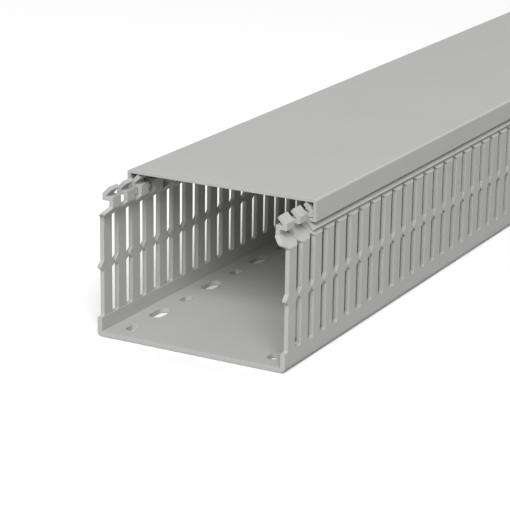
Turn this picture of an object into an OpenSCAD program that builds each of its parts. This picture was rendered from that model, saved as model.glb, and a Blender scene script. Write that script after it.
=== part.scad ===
// Slotted wire duct: an open channel with two walls of free fingers and a
// cover that clips over the finger heads. The duct lies on its base with its
// width along X and its length along Y. The origin is the middle of the
// underside, and the front end, where the cover is drawn back, is at -Y.

/* [Duct channel] */
// width across the outside of the two walls
duct_w = 100; // [80:1:150]
// height from the underside of the base to the top of the cover
duct_h = 75; // [72:1:120]
// number of slot pitches along the length; 80 of them make the 1 m stock length
pitch_count = 80; // [8:1:80]
// thickness of the base
base_t = 2.4; // [1.8:0.1:3]
// thickness of the solid lower part of the walls
wall_t = 2.4; // [2.2:0.1:3]
// radius of the outer bottom edges
bottom_r = 2.4; // [1:0.1:4]

/* [Fingers] */
// distance from one slot to the next
slot_pitch = 12.5; // [10:0.5:15]
// width of the open slot between two fingers
slot_w = 5.5; // [4.5:0.1:6]
// height of the slot bottom above the underside of the base
slot_z = 9.3; // [7:0.1:14]
// radius in the corners of the slot bottom
slot_r = 0.8; // [0.4:0.1:1.5]
// thickness of the fingers
finger_t = 2.1; // [1.8:0.1:2.1]
// height of the middle of the pinch bumps on the finger edges
bump_z = 34; // [28:0.5:38]
// gap left between two facing pinch bumps
bump_gap = 0.9; // [0.6:0.1:2]
// flat length at the tip of a pinch bump
bump_flat = 1; // [0.6:0.1:2]
// how far above the start of the shoulder its own pinch bumps begin
grip_rise = 1.2; // [0.8:0.1:1.6]

/* [Finger heads] */
// thickness of the bent finger heads
head_t = 2; // [1.6:0.1:2]
// distance from the top of the cover down to the start of the shoulder
shoulder_drop = 16.6; // [16:0.1:18]
// how far the neck stands back from the outside of the wall
neck_in = 5.3; // [5:0.1:6]
// height of the outer upright face of the head
head_face = 3.3; // [3:0.1:3.6]
// height of the roof of the head above that face
head_roof = 3.5; // [3:0.1:3.8]

/* [Base holes] */
// distance of a hole row from the outside of its wall
row_in = 12; // [10:0.5:18]
// width of the small elongated holes
small_w = 5; // [4:0.1:6]
// length of the small elongated holes
small_l = 9; // [7:0.1:12]
// width of the large elongated holes
large_w = 7; // [6:0.1:8]
// length of the large elongated holes
large_l = 15; // [12:0.1:18]

/* [Cover] */
// sheet thickness of the cover
cover_t = 1.6; // [1.4:0.1:1.8]
// how far each cover flank stands outside its wall
cover_over = 0.3; // [0.1:0.1:0.5]
// outer radius of the cover edges
cover_r = 1.2; // [0.6:0.1:1.5]
// how far the cover is drawn back from the front end of the duct
cover_back = 27.5; // [0:0.5:60]
// clearance between the cover and the finger heads
fit_gap = 0.3; // [0.2:0.05:0.4]

/* [Hidden] */
eps = 0.01;
root2 = sqrt(2);
duct_l = pitch_count * slot_pitch;
front_y = -duct_l / 2;
cover_y = front_y + cover_back;
half_w = duct_w / 2;
hole_x = half_w - row_in;
// finger head, built down from the underside of the cover
head_top = duct_h - cover_t - fit_gap;
head_x = half_w + cover_over - cover_t - fit_gap;
roof_z = head_top - head_roof;
arm_z = roof_z - head_face;
tip_x = head_x - head_roof;
neck_x = half_w - neck_in;
shoulder_z = duct_h - shoulder_drop;
neck_z = shoulder_z + neck_in;
under_sum = half_w + shoulder_z - head_t * root2;
// pinch bumps
bump_out = (slot_w - bump_gap) / 2;
bump_low = bump_z - bump_flat / 2;
bump_high = bump_z + bump_flat / 2;
bump_drop = bump_out * 0.7;
grip_low = shoulder_z + grip_rise;
grip_high = grip_low + bump_flat;
// cover hook
flank_x = half_w + cover_over;
shelf_top = arm_z - fit_gap;
shelf_low = shelf_top - cover_t;
hook_x = neck_x + fit_gap;
lip_sum = half_w + shoulder_z + fit_gap * root2;
lip_top_sum = lip_sum + cover_t * root2;
lip_x = half_w;

color_body = [0.71, 0.72, 0.69];
color_cover = [0.73, 0.74, 0.71];

// half of the duct cross-section, from the outer bottom edge up and back down
half_section = [
    [half_w, 0],
    [half_w, shoulder_z],
    [neck_x, neck_z],
    [neck_x, arm_z],
    [head_x, arm_z],
    [head_x, roof_z],
    [tip_x, head_top],
    [tip_x - head_t / root2, head_top - head_t / root2],
    [head_x - head_t, roof_z + head_t - head_t * root2],
    [head_x - head_t, arm_z + head_t],
    [neck_x - head_t, arm_z + head_t],
    [neck_x - head_t, under_sum - neck_x + head_t],
    [half_w - finger_t, under_sum - half_w + finger_t],
    [half_w - finger_t, slot_z],
    [half_w - wall_t, slot_z],
    [half_w - wall_t, base_t]
];

// half of the cover cross-section, from the middle of the top round the hook
half_cover = [
    [flank_x, duct_h],
    [flank_x, shelf_low],
    [lip_top_sum - shelf_low, shelf_low],
    [lip_x, lip_top_sum - lip_x],
    [lip_x - cover_t / root2, lip_top_sum - lip_x - cover_t / root2],
    [hook_x, lip_sum - hook_x],
    [hook_x, shelf_top],
    [flank_x - cover_t, shelf_top],
    [flank_x - cover_t, duct_h - cover_t]
];

// middle of slot i along the length; slots 0 and pitch_count are cut in half by the ends
function slot_y(i) = front_y + i * slot_pitch;

function other_side(pts) = [for (i = [len(pts) - 1 : -1 : 0]) [-pts[i][0], pts[i][1]]];

// runs a cross-section drawn in X and Z along +Y
module run_y(y0, length) {
    translate([0, y0 + length, 0]) rotate([90, 0, 0]) linear_extrude(height = length) children();
}

// what is taken off an outer edge to round it, edge at [x, z], side = 1 or -1, up = 1 or -1
module edge_cut(x, z, r, side, up, y0, length) {
    translate([x, y0, z]) difference() {
        translate([side > 0 ? -r : -eps, -eps, up > 0 ? -r : -eps])
            cube([r + eps, length + 2 * eps, r + eps]);
        translate([-side * r, -2 * eps, -up * r]) rotate([-90, 0, 0])
            cylinder(r = r, h = length + 4 * eps, $fn = 48);
    }
}

// one slot through both walls, with the pinch bumps left standing in it: one pair half
// way up the fingers and one pair on their shoulders, below the necks
module slot_cut() {
    h = slot_w / 2;
    k = slot_r * (1 - 1 / root2);
    edge = [
        [h - slot_r, slot_z],
        [h - k, slot_z + k],
        [h, slot_z + slot_r],
        [h, bump_low - bump_drop],
        [h - bump_out, bump_low],
        [h - bump_out, bump_high],
        [h, bump_high + bump_out],
        [h, grip_low - bump_drop],
        [h - bump_out, grip_low],
        [h - bump_out, grip_high],
        [h, neck_z],
        [h, duct_h + 1]
    ];
    translate([-half_w - 1, 0, 0]) rotate([90, 0, 90]) linear_extrude(height = duct_w + 2)
        polygon(concat(edge, other_side(edge)));
}

// one elongated hole through the base
module base_hole(w, l) {
    s = (l - w) / 2;
    translate([-w / 2, -s, -1]) cube([w, 2 * s, base_t + 2]);
    for (e = [-1, 1]) translate([0, e * s, -1]) cylinder(d = w, h = base_t + 2, $fn = 32);
}

module duct_body() {
    color(color_body) difference() {
        run_y(front_y, duct_l) polygon(concat(half_section, other_side(half_section)));
        for (side = [-1, 1]) edge_cut(side * half_w, 0, bottom_r, side, -1, front_y, duct_l);
        for (i = [0 : pitch_count]) translate([0, slot_y(i), 0]) slot_cut();
        for (side = [-1, 1]) {
            for (i = [1 : 4 : pitch_count - 1]) translate([side * hole_x, slot_y(i), 0])
                base_hole(small_w, small_l);
            for (i = [3 : 4 : pitch_count - 1]) translate([side * hole_x, slot_y(i), 0])
                base_hole(large_w, large_l);
        }
    }
}

module cover() {
    color(color_cover) difference() {
        run_y(cover_y, duct_l) polygon(concat(half_cover, other_side(half_cover)));
        for (side = [-1, 1]) edge_cut(side * flank_x, duct_h, cover_r, side, 1, cover_y, duct_l);
    }
}

duct_body();
cover();
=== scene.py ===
"""Finishes and studio for a slotted wire duct with a clip-on cover.

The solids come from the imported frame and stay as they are. This add-on gives them
their extruded PVC finish and sets up the floor, the lights and the camera.
"""

import math

import bpy
from bpy.props import FloatProperty, FloatVectorProperty, PointerProperty
from mathutils import Euler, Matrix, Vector


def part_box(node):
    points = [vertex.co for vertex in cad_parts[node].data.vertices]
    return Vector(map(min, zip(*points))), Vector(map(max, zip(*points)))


bl_info = {
    "name": "Slotted Wire Duct Finish",
    "version": (1, 0, 0),
    "blender": (4, 5, 0),
    "location": "3D View > Sidebar > Wire Duct",
    "description": "Extruded plastic finishes, floor, light and camera for a slotted wire duct",
    "category": "Object",
}

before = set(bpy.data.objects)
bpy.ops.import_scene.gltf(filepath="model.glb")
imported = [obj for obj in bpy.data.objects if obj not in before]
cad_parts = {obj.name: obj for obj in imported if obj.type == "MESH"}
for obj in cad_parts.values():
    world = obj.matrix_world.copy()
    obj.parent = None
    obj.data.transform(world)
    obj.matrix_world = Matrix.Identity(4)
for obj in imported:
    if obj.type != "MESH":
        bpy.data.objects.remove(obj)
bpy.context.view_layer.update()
DUCT_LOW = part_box("duct_body")[0]

# plastic: how far each effect moves the shade, the roughness and the relief; the paler edges are
# partly wear and partly a painted highlight, with one amount everywhere and a second added on top
# of it away from the cut faces
DRIFT_SHADE = 0.05
# darker patches on the cut faces: partly random tone, partly painted shade that offsets the
# frontal key light on faces across the length
CUT_TONE_AND_PAINTED_SHADE = 0.12
# paler edges away from the cut faces, added on top of the amount everywhere: partly wear, partly
# painted highlight
SKIN_WEAR_AND_HIGHLIGHT = 0.10
# paler edges everywhere: partly wear, partly painted highlight
BASE_WEAR_AND_HIGHLIGHT = 0.03
LINE_ROUGHNESS = -0.12
DRIFT_ROUGHNESS = 0.10
CUT_ROUGHNESS = 0.12
GRAIN_RELIEF = 0.55
DRAG_RELIEF = 1.6
BUMP_STRENGTH = 0.6
PVC_IOR = 1.53
PVC_SHEEN = 0.35

# patterns, in repeats per metre: across, along and up the duct, or one number for all
FINE_LINES = (900.0, 1.2, 900.0)
BROAD_LINES = (160.0, 0.7, 160.0)
DRAG_MARKS = (1500.0, 300.0, 90.0)
CUT_PATCHES = (250.0, 60.0, 40.0)
FINE_GRAIN = 2600.0
COARSE_GRAIN = 700.0
SHADE_DRIFT = 14.0

# how much of the grain's relief the fine grain makes; the coarse grain makes the rest
FINE_SHARE = 0.6

# how squarely a face looks along the duct before it counts as cut, and how
# quickly the edge mask rises where the rounded normal turns away
CUT_LIMIT = 0.6
EDGE_GAIN = 3.0
BEVEL_SAMPLES = 6

# studio: the floor's half width and its drop below the duct are in metres, and the
# camera's sensor is in millimetres
FLOOR_HALF = 30.0
FLOOR_GAP = 0.0002
FLOOR_ROUGHNESS = 0.9
FLOOR_SHEEN = 0.1
SENSOR_WIDTH = 36.0


# ---------------------------------------------------------------- sizes and colours


class DuctPlasticSettings(bpy.types.PropertyGroup):
    """Colour and surface of the two extruded pieces"""

    body_colour: FloatVectorProperty(
        name="Channel colour",
        description="Colour of the channel's stone-grey plastic",
        subtype="COLOR",
        size=3,
        min=0.0,
        max=1.0,
        default=(0.462, 0.466, 0.447),
    )
    cover_colour: FloatVectorProperty(
        name="Cover colour",
        description="Colour of the cover's stone-grey plastic",
        subtype="COLOR",
        size=3,
        min=0.0,
        max=1.0,
        default=(0.460, 0.465, 0.444),
    )
    roughness: FloatProperty(
        name="Roughness",
        description="Roughness of the extruded skin",
        subtype="FACTOR",
        min=0.0,
        max=1.0,
        default=0.55,
    )
    edge_radius: FloatProperty(
        name="Edge radius",
        description="How far the edges look rounded by the die and the punch",
        subtype="DISTANCE",
        unit="LENGTH",
        min=0.0,
        max=0.002,
        default=0.00035,
    )
    grain_depth: FloatProperty(
        name="Grain depth",
        description="Depth of the matt grain and the die lines",
        subtype="DISTANCE",
        unit="LENGTH",
        min=0.0,
        max=0.001,
        default=0.00009,
    )


class StudioSettings(bpy.types.PropertyGroup):
    """Floor, lights and camera"""

    floor_colour: FloatVectorProperty(
        name="Floor colour",
        description="Colour of the plain floor",
        subtype="COLOR",
        size=3,
        min=0.0,
        max=1.0,
        default=(1.0, 1.0, 1.0),
    )
    floor_bounce: FloatProperty(
        name="Floor bounce",
        description="Share of the light that the floor throws back onto the duct",
        subtype="FACTOR",
        min=0.0,
        max=1.0,
        default=0.5,
    )
    room_light: FloatProperty(
        name="Room light",
        description="Strength of the even light from all round",
        min=0.0,
        max=5.0,
        default=0.32,
    )
    key_power: FloatProperty(
        name="Key light",
        description="Power of the large soft box in front and above",
        subtype="POWER",
        unit="POWER",
        min=0.0,
        max=1000.0,
        default=272.0,
    )
    rim_power: FloatProperty(
        name="Rim light",
        description="Power of the soft box behind the far end, which draws the long bends",
        subtype="POWER",
        unit="POWER",
        min=0.0,
        max=1000.0,
        default=48.0,
    )
    fill_power: FloatProperty(
        name="Fill light",
        description="Power of the soft box on the left, which opens the shaded wall",
        subtype="POWER",
        unit="POWER",
        min=0.0,
        max=1000.0,
        default=36.0,
    )
    camera_place: FloatVectorProperty(
        name="Camera place",
        description="Where the camera stands, from the middle of the duct's underside",
        subtype="TRANSLATION",
        unit="LENGTH",
        size=3,
        default=(0.4423, -1.2535, 0.3228),
    )
    camera_aim: FloatVectorProperty(
        name="Camera aim",
        description="The point that the camera looks at",
        subtype="TRANSLATION",
        unit="LENGTH",
        size=3,
        default=(0.0106, -0.4568, 0.0382),
    )
    camera_lens: FloatProperty(
        name="Focal length",
        description="Focal length in millimetres on a 36 mm sensor",
        min=10.0,
        max=500.0,
        default=141.97,
    )
    camera_roll: FloatProperty(
        name="Camera roll",
        description="Turn of the camera about its own line of sight",
        subtype="ANGLE",
        unit="ROTATION",
        default=math.radians(0.834),
    )


# ---------------------------------------------------------------- shader groups


def new_group(name, inputs, outputs):
    """An empty shader node group with named sockets, and its two end nodes."""
    tree = bpy.data.node_groups.new(name, "ShaderNodeTree")
    for socket, kind, value in inputs:
        made = tree.interface.new_socket(name=socket, in_out="INPUT", socket_type=kind)
        if value is not None:
            made.default_value = value
    for socket, kind in outputs:
        tree.interface.new_socket(name=socket, in_out="OUTPUT", socket_type=kind)
    return tree, tree.nodes.new("NodeGroupInput"), tree.nodes.new("NodeGroupOutput")


def math_node(tree, operation, a, b=None, c=None, clamp=False):
    """A Math node fed by sockets or plain numbers; returns its result socket."""
    node = tree.nodes.new("ShaderNodeMath")
    node.operation = operation
    node.use_clamp = clamp
    for i, value in enumerate((a, b, c)):
        if value is None:
            continue
        if isinstance(value, (int, float)):
            node.inputs[i].default_value = value
        else:
            tree.links.new(value, node.inputs[i])
    return node.outputs[0]


def vector_node(tree, operation, a, b):
    """A Vector Math node fed by sockets or plain triples; returns its vector."""
    node = tree.nodes.new("ShaderNodeVectorMath")
    node.operation = operation
    for i, value in enumerate((a, b)):
        if isinstance(value, tuple):
            node.inputs[i].default_value = value
        else:
            tree.links.new(value, node.inputs[i])
    return node.outputs["Value" if operation == "DOT_PRODUCT" else "Vector"]


def noise_node(tree, vector, scale, detail, roughness):
    """A Noise Texture; returns its value socket."""
    node = tree.nodes.new("ShaderNodeTexNoise")
    node.inputs["Scale"].default_value = scale
    node.inputs["Detail"].default_value = detail
    node.inputs["Roughness"].default_value = roughness
    tree.links.new(vector, node.inputs["Vector"])
    return node.outputs["Fac"]


def die_lines_group():
    """Fine lines that the extrusion die leaves along the length."""
    tree, start, end = new_group(
        "Die Lines",
        [("Vector", "NodeSocketVector", None)],
        [("Height", "NodeSocketFloat"), ("Tone", "NodeSocketFloat")],
    )
    fine = vector_node(tree, "MULTIPLY", start.outputs["Vector"], FINE_LINES)
    broad = vector_node(tree, "MULTIPLY", start.outputs["Vector"], BROAD_LINES)
    tree.links.new(noise_node(tree, fine, 1.0, 3.0, 0.6), end.inputs["Height"])
    tree.links.new(noise_node(tree, broad, 1.0, 2.0, 0.5), end.inputs["Tone"])
    return tree


def matt_grain_group():
    """The fine matt grain of rigid PVC, and slow drifts in its shade."""
    tree, start, end = new_group(
        "Matt Grain",
        [("Vector", "NodeSocketVector", None)],
        [("Height", "NodeSocketFloat"), ("Drift", "NodeSocketFloat")],
    )
    vector = start.outputs["Vector"]
    fine = noise_node(tree, vector, FINE_GRAIN, 2.0, 0.6)
    coarse = noise_node(tree, vector, COARSE_GRAIN, 2.0, 0.5)
    coarse = math_node(tree, "MULTIPLY", coarse, 1.0 - FINE_SHARE)
    height = math_node(tree, "MULTIPLY_ADD", fine, FINE_SHARE, coarse)
    tree.links.new(height, end.inputs["Height"])
    tree.links.new(noise_node(tree, vector, SHADE_DRIFT, 3.0, 0.55), end.inputs["Drift"])
    return tree


def edge_group():
    """Rounded normals at the edges, and a mask of where the edges are."""
    tree, start, end = new_group(
        "Soft Edges",
        [("Radius", "NodeSocketFloat", 0.0004)],
        [("Normal", "NodeSocketVector"), ("Edge", "NodeSocketFloat")],
    )
    bevel = tree.nodes.new("ShaderNodeBevel")
    bevel.samples = BEVEL_SAMPLES
    tree.links.new(start.outputs["Radius"], bevel.inputs["Radius"])
    geometry = tree.nodes.new("ShaderNodeNewGeometry")
    dot = vector_node(tree, "DOT_PRODUCT", bevel.outputs["Normal"], geometry.outputs["Normal"])
    turned = math_node(tree, "SUBTRACT", 1.0, dot)
    edge = math_node(tree, "MULTIPLY", turned, EDGE_GAIN, clamp=True)
    tree.links.new(bevel.outputs["Normal"], end.inputs["Normal"])
    tree.links.new(edge, end.inputs["Edge"])
    return tree


def cut_face_group():
    """Faces across the length: punched slot sides and sawn ends, with their drag marks."""
    tree, start, end = new_group(
        "Cut Faces",
        [("Vector", "NodeSocketVector", None), ("Normal", "NodeSocketVector", None)],
        [("Mask", "NodeSocketFloat"), ("Height", "NodeSocketFloat"), ("Tone", "NodeSocketFloat")],
    )
    along = vector_node(tree, "DOT_PRODUCT", start.outputs["Normal"], (0.0, 1.0, 0.0))
    mask = math_node(tree, "GREATER_THAN", math_node(tree, "ABSOLUTE", along), CUT_LIMIT)
    tree.links.new(mask, end.inputs["Mask"])
    drag = vector_node(tree, "MULTIPLY", start.outputs["Vector"], DRAG_MARKS)
    tree.links.new(noise_node(tree, drag, 1.0, 3.0, 0.6), end.inputs["Height"])
    cut_tone_and_painted_shade = vector_node(tree, "MULTIPLY", start.outputs["Vector"], CUT_PATCHES)
    tree.links.new(noise_node(tree, cut_tone_and_painted_shade, 1.0, 2.0, 0.5), end.inputs["Tone"])
    return tree


GROUP_MAKERS = {
    "Die Lines": die_lines_group,
    "Matt Grain": matt_grain_group,
    "Soft Edges": edge_group,
    "Cut Faces": cut_face_group,
}


def shared_group(name):
    """The named shader group, built the first time it is asked for."""
    return bpy.data.node_groups.get(name) or GROUP_MAKERS[name]()


def place_group(tree, name):
    """A node in a material that holds one of the shared groups."""
    node = tree.nodes.new("ShaderNodeGroup")
    node.node_tree = shared_group(name)
    return node


# ---------------------------------------------------------------- materials


def extruded_plastic(name, colour, settings, line_tone, skin_shift):
    """Matt extruded PVC: die lines along the length, grain, soft edges, paler edges of wear and
    painted highlight, cut faces darkened by random tone and painted shade.

    line_tone is how strongly the die lines show in the shade, and skin_shift is added
    to the roughness.
    """
    material = bpy.data.materials.new(name)
    material.use_nodes = True
    material.diffuse_color = (*colour, 1.0)
    tree = material.node_tree
    shader = tree.nodes["Principled BSDF"]
    place = tree.nodes.new("ShaderNodeTexCoord")
    lines, grain, edges, cuts = (place_group(tree, n) for n in GROUP_MAKERS)
    tree.links.new(place.outputs["Object"], lines.inputs["Vector"])
    tree.links.new(place.outputs["Object"], grain.inputs["Vector"])
    tree.links.new(place.outputs["Object"], cuts.inputs["Vector"])
    tree.links.new(place.outputs["Normal"], cuts.inputs["Normal"])
    edges.inputs["Radius"].default_value = settings.edge_radius
    cut = cuts.outputs["Mask"]
    skin = math_node(tree, "SUBTRACT", 1.0, cut)

    # shade: slow drift, streaks on the skin, darker patches on cut faces that are partly random
    # tone and partly painted shade, paler edges that are partly wear and partly painted highlight
    drift = grain.outputs["Drift"]
    drift = math_node(tree, "MULTIPLY_ADD", drift, DRIFT_SHADE, 1.0 - DRIFT_SHADE / 2)
    streak = math_node(tree, "SUBTRACT", lines.outputs["Tone"], 0.5)
    streak = math_node(tree, "MULTIPLY", math_node(tree, "MULTIPLY", streak, line_tone), skin)
    # cut faces only ever darken: random patches plus painted shade against the frontal key light
    cut_tone_and_painted_shade = math_node(tree, "SUBTRACT", cuts.outputs["Tone"], 1.0)
    cut_tone_and_painted_shade = math_node(tree, "MULTIPLY", math_node(tree, "MULTIPLY", cut_tone_and_painted_shade, CUT_TONE_AND_PAINTED_SHADE), cut)
    # paler edges: partly wear, partly a painted highlight along the rounded edges
    reach = math_node(tree, "MULTIPLY_ADD", skin, SKIN_WEAR_AND_HIGHLIGHT, BASE_WEAR_AND_HIGHLIGHT)
    wear_and_highlight = math_node(tree, "MULTIPLY", edges.outputs["Edge"], reach)
    shade = math_node(tree, "ADD", math_node(tree, "ADD", drift, streak), cut_tone_and_painted_shade)
    shade = math_node(tree, "ADD", shade, wear_and_highlight)
    tint = tree.nodes.new("ShaderNodeMix")
    tint.data_type = "RGBA"
    tint.blend_type = "MULTIPLY"
    tint.inputs["Factor"].default_value = 1.0
    tint.inputs["A"].default_value = (*colour, 1.0)
    grey = tree.nodes.new("ShaderNodeCombineColor")
    for channel in ("Red", "Green", "Blue"):
        tree.links.new(shade, grey.inputs[channel])
    tree.links.new(grey.outputs["Color"], tint.inputs["B"])
    tree.links.new(tint.outputs["Result"], shader.inputs["Base Color"])

    # roughness: rubbed lines are smoother, cut faces and drifts rougher
    rough = settings.roughness + skin_shift
    rough = math_node(tree, "MULTIPLY_ADD", lines.outputs["Tone"], LINE_ROUGHNESS, rough)
    rough = math_node(tree, "MULTIPLY_ADD", grain.outputs["Drift"], DRIFT_ROUGHNESS, rough)
    rough = math_node(tree, "MULTIPLY_ADD", cut, CUT_ROUGHNESS, rough)
    tree.links.new(rough, shader.inputs["Roughness"])
    shader.inputs["IOR"].default_value = PVC_IOR
    shader.inputs["Specular IOR Level"].default_value = PVC_SHEEN

    # relief: die lines on the skin, grain everywhere, drag marks on cut faces
    relief = math_node(tree, "MULTIPLY", lines.outputs["Height"], skin)
    relief = math_node(tree, "MULTIPLY_ADD", grain.outputs["Height"], GRAIN_RELIEF, relief)
    marks = math_node(tree, "MULTIPLY", cuts.outputs["Height"], cut)
    relief = math_node(tree, "MULTIPLY_ADD", marks, DRAG_RELIEF, relief)
    bump = tree.nodes.new("ShaderNodeBump")
    bump.inputs["Strength"].default_value = BUMP_STRENGTH
    bump.inputs["Distance"].default_value = settings.grain_depth
    tree.links.new(relief, bump.inputs["Height"])
    tree.links.new(edges.outputs["Normal"], bump.inputs["Normal"])
    tree.links.new(bump.outputs["Normal"], shader.inputs["Normal"])
    return material


def dress(node, material):
    """Puts one material on every slot of a CAD node."""
    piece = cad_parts[node]
    if not piece.material_slots:
        piece.data.materials.append(material)
    for each in piece.material_slots:
        each.material = material


# ---------------------------------------------------------------- operators


class WIREDUCT_OT_finish_channel(bpy.types.Operator):
    """Give the channel with its fingers the extruded plastic finish"""

    bl_idname = "wire_duct.finish_channel"
    bl_label = "Finish Channel"

    def execute(self, context):
        settings = context.scene.duct_plastic
        colour = tuple(settings.body_colour)
        plastic = extruded_plastic(
            "Channel Plastic", colour, settings, line_tone=0.045, skin_shift=0.04
        )
        dress("duct_body", plastic)
        return {"FINISHED"}


class WIREDUCT_OT_finish_cover(bpy.types.Operator):
    """Give the clip-on cover its smoother extruded plastic finish"""

    bl_idname = "wire_duct.finish_cover"
    bl_label = "Finish Cover"

    def execute(self, context):
        settings = context.scene.duct_plastic
        colour = tuple(settings.cover_colour)
        plastic = extruded_plastic(
            "Cover Plastic", colour, settings, line_tone=0.03, skin_shift=-0.06
        )
        dress("cover", plastic)
        return {"FINISHED"}


class WIREDUCT_OT_set_stage(bpy.types.Operator):
    """Lay the plain floor and set up the lights and the camera"""

    bl_idname = "wire_duct.set_stage"
    bl_label = "Set Stage"

    def execute(self, context):
        settings = context.scene.studio
        self.floor(context, settings)
        self.light(context, settings)
        self.camera(context, settings)
        return {"FINISHED"}

    def floor(self, context, settings):
        half = FLOOR_HALF
        mesh = bpy.data.meshes.new("floor")
        corners = [(-half, -half, 0), (half, -half, 0), (half, half, 0), (-half, half, 0)]
        mesh.from_pydata(corners, [], [(0, 1, 2, 3)])
        floor = bpy.data.objects.new("floor", mesh)
        floor.location.z = DUCT_LOW.z - FLOOR_GAP
        context.scene.collection.objects.link(floor)
        material = bpy.data.materials.new("Pale Floor")
        material.use_nodes = True
        tree = material.node_tree
        # one surface is what the camera sees of the floor, and the other is what
        # throws the softened light back onto the duct
        seen = tree.nodes["Principled BSDF"]
        seen.inputs["Base Color"].default_value = (*settings.floor_colour, 1.0)
        under = tree.nodes.new("ShaderNodeBsdfPrincipled")
        under.inputs["Base Color"].default_value = (*[settings.floor_bounce] * 3, 1.0)
        for shader in (seen, under):
            shader.inputs["Roughness"].default_value = FLOOR_ROUGHNESS
            shader.inputs["Specular IOR Level"].default_value = FLOOR_SHEEN
        path = tree.nodes.new("ShaderNodeLightPath")
        mix = tree.nodes.new("ShaderNodeMixShader")
        tree.links.new(path.outputs["Is Camera Ray"], mix.inputs["Fac"])
        tree.links.new(under.outputs["BSDF"], mix.inputs[1])
        tree.links.new(seen.outputs["BSDF"], mix.inputs[2])
        tree.links.new(mix.outputs["Shader"], tree.nodes["Material Output"].inputs["Surface"])
        mesh.materials.append(material)

    def soft_box(self, context, name, place, aim, size, power):
        lamp = bpy.data.lights.new(name, "AREA")
        lamp.shape = "RECTANGLE"
        lamp.size, lamp.size_y = size
        lamp.energy = power
        made = bpy.data.objects.new(name, lamp)
        made.location = place
        made.rotation_euler = (Vector(aim) - Vector(place)).to_track_quat("-Z", "Y").to_euler()
        context.scene.collection.objects.link(made)

    def light(self, context, settings):
        world = bpy.data.worlds.new("studio")
        world.use_nodes = True
        back = world.node_tree.nodes["Background"]
        back.inputs["Color"].default_value = (1.0, 1.0, 1.0, 1.0)
        back.inputs["Strength"].default_value = settings.room_light
        context.scene.world = world
        context.scene.view_settings.view_transform = "Standard"
        # each soft box: where it stands, where it points, its width and height, its power
        for name, place, aim, size, power in (
            ("key", (1.5, -3.78, 3.3), (0.0, -0.35, 0.0), (3.2, 3.2), settings.key_power),
            ("rim", (0.9, 4.6, 2.6), (0.0, 0.2, 0.0), (2.6, 1.6), settings.rim_power),
            ("fill", (-3.8, 1.2, 1.9), (0.0, 0.0, 0.0), (2.0, 1.4), settings.fill_power),
        ):
            self.soft_box(context, name, place, aim, size, power)

    def camera(self, context, settings):
        lens = bpy.data.cameras.new("camera")
        lens.lens = settings.camera_lens
        lens.sensor_width = SENSOR_WIDTH
        lens.clip_start, lens.clip_end = 0.01, 100.0
        camera = bpy.data.objects.new("camera", lens)
        place, aim = Vector(settings.camera_place), Vector(settings.camera_aim)
        turn = (aim - place).to_track_quat("-Z", "Y").to_matrix()
        turn = turn @ Euler((0.0, 0.0, settings.camera_roll)).to_matrix()
        camera.location = place
        camera.rotation_euler = turn.to_euler()
        context.scene.collection.objects.link(camera)
        context.scene.camera = camera


class WIREDUCT_PT_sidebar(bpy.types.Panel):
    """The duct's finishes and the studio in the 3D view's sidebar"""

    bl_idname = "WIREDUCT_PT_sidebar"
    bl_label = "Slotted Wire Duct"
    bl_space_type = "VIEW_3D"
    bl_region_type = "UI"
    bl_category = "Wire Duct"

    def draw(self, context):
        layout = self.layout
        for title, owner, keys, operators in (
            (
                "Plastic",
                context.scene.duct_plastic,
                ("body_colour", "cover_colour", "roughness", "edge_radius", "grain_depth"),
                (WIREDUCT_OT_finish_channel, WIREDUCT_OT_finish_cover),
            ),
            (
                "Studio",
                context.scene.studio,
                (
                    "floor_colour",
                    "floor_bounce",
                    "room_light",
                    "key_power",
                    "rim_power",
                    "fill_power",
                    "camera_place",
                    "camera_aim",
                    "camera_lens",
                    "camera_roll",
                ),
                (WIREDUCT_OT_set_stage,),
            ),
        ):
            box = layout.box()
            box.label(text=title)
            for key in keys:
                box.prop(owner, key)
            for operator in operators:
                box.operator(operator.bl_idname)


CLASSES = (
    DuctPlasticSettings,
    StudioSettings,
    WIREDUCT_OT_finish_channel,
    WIREDUCT_OT_finish_cover,
    WIREDUCT_OT_set_stage,
    WIREDUCT_PT_sidebar,
)


def register():
    for each in CLASSES:
        bpy.utils.register_class(each)
    bpy.types.Scene.duct_plastic = PointerProperty(type=DuctPlasticSettings)
    bpy.types.Scene.studio = PointerProperty(type=StudioSettings)


def unregister():
    del bpy.types.Scene.studio
    del bpy.types.Scene.duct_plastic
    for each in reversed(CLASSES):
        bpy.utils.unregister_class(each)


def clear_scene():
    """Takes away what an empty Blender file starts with, apart from the CAD frame."""
    for name in ("Cube", "Light", "Camera"):
        if name in bpy.data.objects:
            bpy.data.objects.remove(bpy.data.objects[name])


def main():
    clear_scene()
    register()
    bpy.ops.wire_duct.set_stage()
    bpy.ops.wire_duct.finish_channel()
    bpy.ops.wire_duct.finish_cover()


if __name__ == "__main__":
    main()
